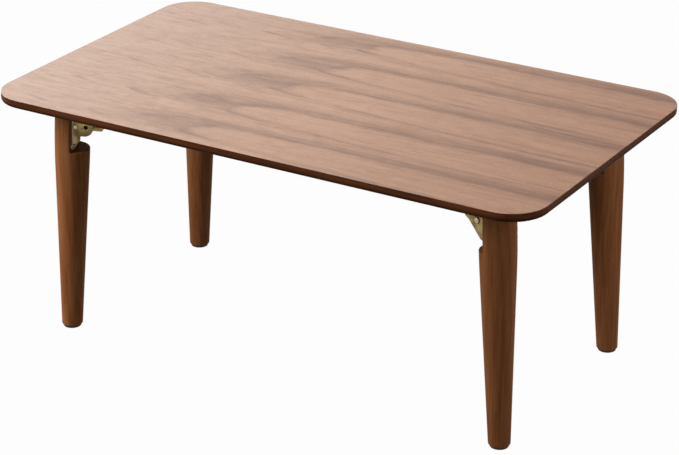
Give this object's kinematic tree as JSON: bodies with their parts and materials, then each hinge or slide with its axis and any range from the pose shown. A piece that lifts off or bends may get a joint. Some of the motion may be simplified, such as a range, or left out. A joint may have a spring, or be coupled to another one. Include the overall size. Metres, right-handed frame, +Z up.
{
  "type": "folding low table",
  "caption": "Low folding table with a rounded rectangular veneered top on turned wooden legs that swing in under it on steel hinge brackets with spring catches.",
  "frame": {"origin": "on the floor, under the centre of the top", "axes": "+X along the long side to the right, -Y towards the front long side, +Z up"},
  "size_m": [0.8, 0.46, 0.352],
  "materials": {
    "veneer": "satin lacquered walnut veneer",
    "board": "dark stained, satin lacquer",
    "backing": "plain brown backing sheet",
    "leg_wood": "brown stained, satin lacquer",
    "pad": "matt",
    "plated_steel": "yellow passivated zinc",
    "bright_steel": "zinc plated",
    "spring_steel": "bright drawn wire"
  },
  "bodies": {
    "table": {"top_veneer": "veneer", "top_core": "board", "underside_sheet": "backing", "front_left_base_bracket": "plated_steel", "front_left_base_screws": "bright_steel", "front_left_pivot_rivet": "bright_steel", "front_left_lever_rivet": "bright_steel", "front_left_lever_spring": "spring_steel", "front_right_base_bracket": "plated_steel", "front_right_base_screws": "bright_steel", "front_right_pivot_rivet": "bright_steel", "front_right_lever_rivet": "bright_steel", "front_right_lever_spring": "spring_steel", "back_left_base_bracket": "plated_steel", "back_left_base_screws": "bright_steel", "back_left_pivot_rivet": "bright_steel", "back_left_lever_rivet": "bright_steel", "back_left_lever_spring": "spring_steel", "back_right_base_bracket": "plated_steel", "back_right_base_screws": "bright_steel", "back_right_pivot_rivet": "bright_steel", "back_right_lever_rivet": "bright_steel", "back_right_lever_spring": "spring_steel"},
    "front_left_leg_unit": {"front_left_leg": "leg_wood", "front_left_foot_pad": "pad", "front_left_leg_plate": "plated_steel", "front_left_leg_screws": "bright_steel", "front_left_stop_stud": "bright_steel"},
    "front_left_catch": {"front_left_catch_lever": "plated_steel"},
    "front_right_leg_unit": {"front_right_leg": "leg_wood", "front_right_foot_pad": "pad", "front_right_leg_plate": "plated_steel", "front_right_leg_screws": "bright_steel", "front_right_stop_stud": "bright_steel"},
    "front_right_catch": {"front_right_catch_lever": "plated_steel"},
    "back_left_leg_unit": {"back_left_leg": "leg_wood", "back_left_foot_pad": "pad", "back_left_leg_plate": "plated_steel", "back_left_leg_screws": "bright_steel", "back_left_stop_stud": "bright_steel"},
    "back_left_catch": {"back_left_catch_lever": "plated_steel"},
    "back_right_leg_unit": {"back_right_leg": "leg_wood", "back_right_foot_pad": "pad", "back_right_leg_plate": "plated_steel", "back_right_leg_screws": "bright_steel", "back_right_stop_stud": "bright_steel"},
    "back_right_catch": {"back_right_catch_lever": "plated_steel"}
  },
  "joints": [
    {"name": "front_left_leg_fold", "type": "hinge", "parent": "table", "child": "front_left_leg_unit", "pos_m": [-0.29952, -0.14235, 0.3005], "axis": [0.3827, -0.9239, 0], "range_deg": [0, 92.7]},
    {"name": "front_left_catch_lift", "type": "hinge", "parent": "table", "child": "front_left_catch", "pos_m": [-0.2755, -0.1324, 0.324], "axis": [0.3827, -0.9239, 0], "range_deg": [0, 9.3], "deforming": ["front_left_lever_spring"]},
    {"name": "front_right_leg_fold", "type": "hinge", "parent": "table", "child": "front_right_leg_unit", "pos_m": [0.29952, -0.14235, 0.3005], "axis": [0.3827, 0.9239, 0], "range_deg": [0, 92.7]},
    {"name": "front_right_catch_lift", "type": "hinge", "parent": "table", "child": "front_right_catch", "pos_m": [0.2755, -0.1324, 0.324], "axis": [0.3827, 0.9239, 0], "range_deg": [0, 9.3], "deforming": ["front_right_lever_spring"]},
    {"name": "back_left_leg_fold", "type": "hinge", "parent": "table", "child": "back_left_leg_unit", "pos_m": [-0.29952, 0.14235, 0.3005], "axis": [-0.3827, -0.9239, 0], "range_deg": [0, 92.7]},
    {"name": "back_left_catch_lift", "type": "hinge", "parent": "table", "child": "back_left_catch", "pos_m": [-0.2755, 0.1324, 0.324], "axis": [-0.3827, -0.9239, 0], "range_deg": [0, 9.3], "deforming": ["back_left_lever_spring"]},
    {"name": "back_right_leg_fold", "type": "hinge", "parent": "table", "child": "back_right_leg_unit", "pos_m": [0.29952, 0.14235, 0.3005], "axis": [-0.3827, 0.9239, 0], "range_deg": [0, 92.7]},
    {"name": "back_right_catch_lift", "type": "hinge", "parent": "table", "child": "back_right_catch", "pos_m": [0.2755, 0.1324, 0.324], "axis": [-0.3827, 0.9239, 0], "range_deg": [0, 9.3], "deforming": ["back_right_lever_spring"]}
  ],
  "couplings": [
    {"joint": "front_left_catch_lift", "follows": "front_left_leg_fold", "ratio": 0.1},
    {"joint": "front_right_catch_lift", "follows": "front_right_leg_fold", "ratio": 0.1},
    {"joint": "back_left_catch_lift", "follows": "back_left_leg_fold", "ratio": 0.1},
    {"joint": "back_right_catch_lift", "follows": "back_right_leg_fold", "ratio": 0.1}
  ]
}
